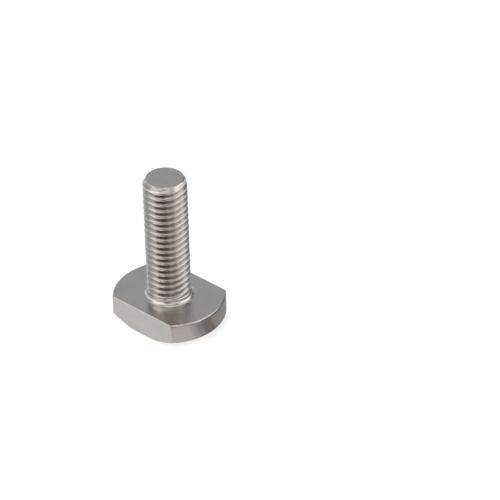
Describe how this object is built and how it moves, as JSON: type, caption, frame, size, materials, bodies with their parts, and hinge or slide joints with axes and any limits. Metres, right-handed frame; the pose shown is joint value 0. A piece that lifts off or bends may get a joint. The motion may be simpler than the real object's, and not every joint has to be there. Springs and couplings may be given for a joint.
{
  "type": "t slot bolt",
  "caption": "Bolt whose round head is cut to parallel flats, so that it drops into a T slot, turns and clamps. The straight shank is threaded up to a short neck under the head.",
  "frame": {"origin": "middle of the flat back of the head, which the bolt stands on", "axes": "+Z runs along the shank from the head's back to the tip, and the head's flats face -Y and +Y"},
  "size_m": [0.0206, 0.0148, 0.0302],
  "materials": {
    "steel": "satin"
  },
  "bodies": {
    "root": {"bolt": "steel"}
  },
  "joints": []
}
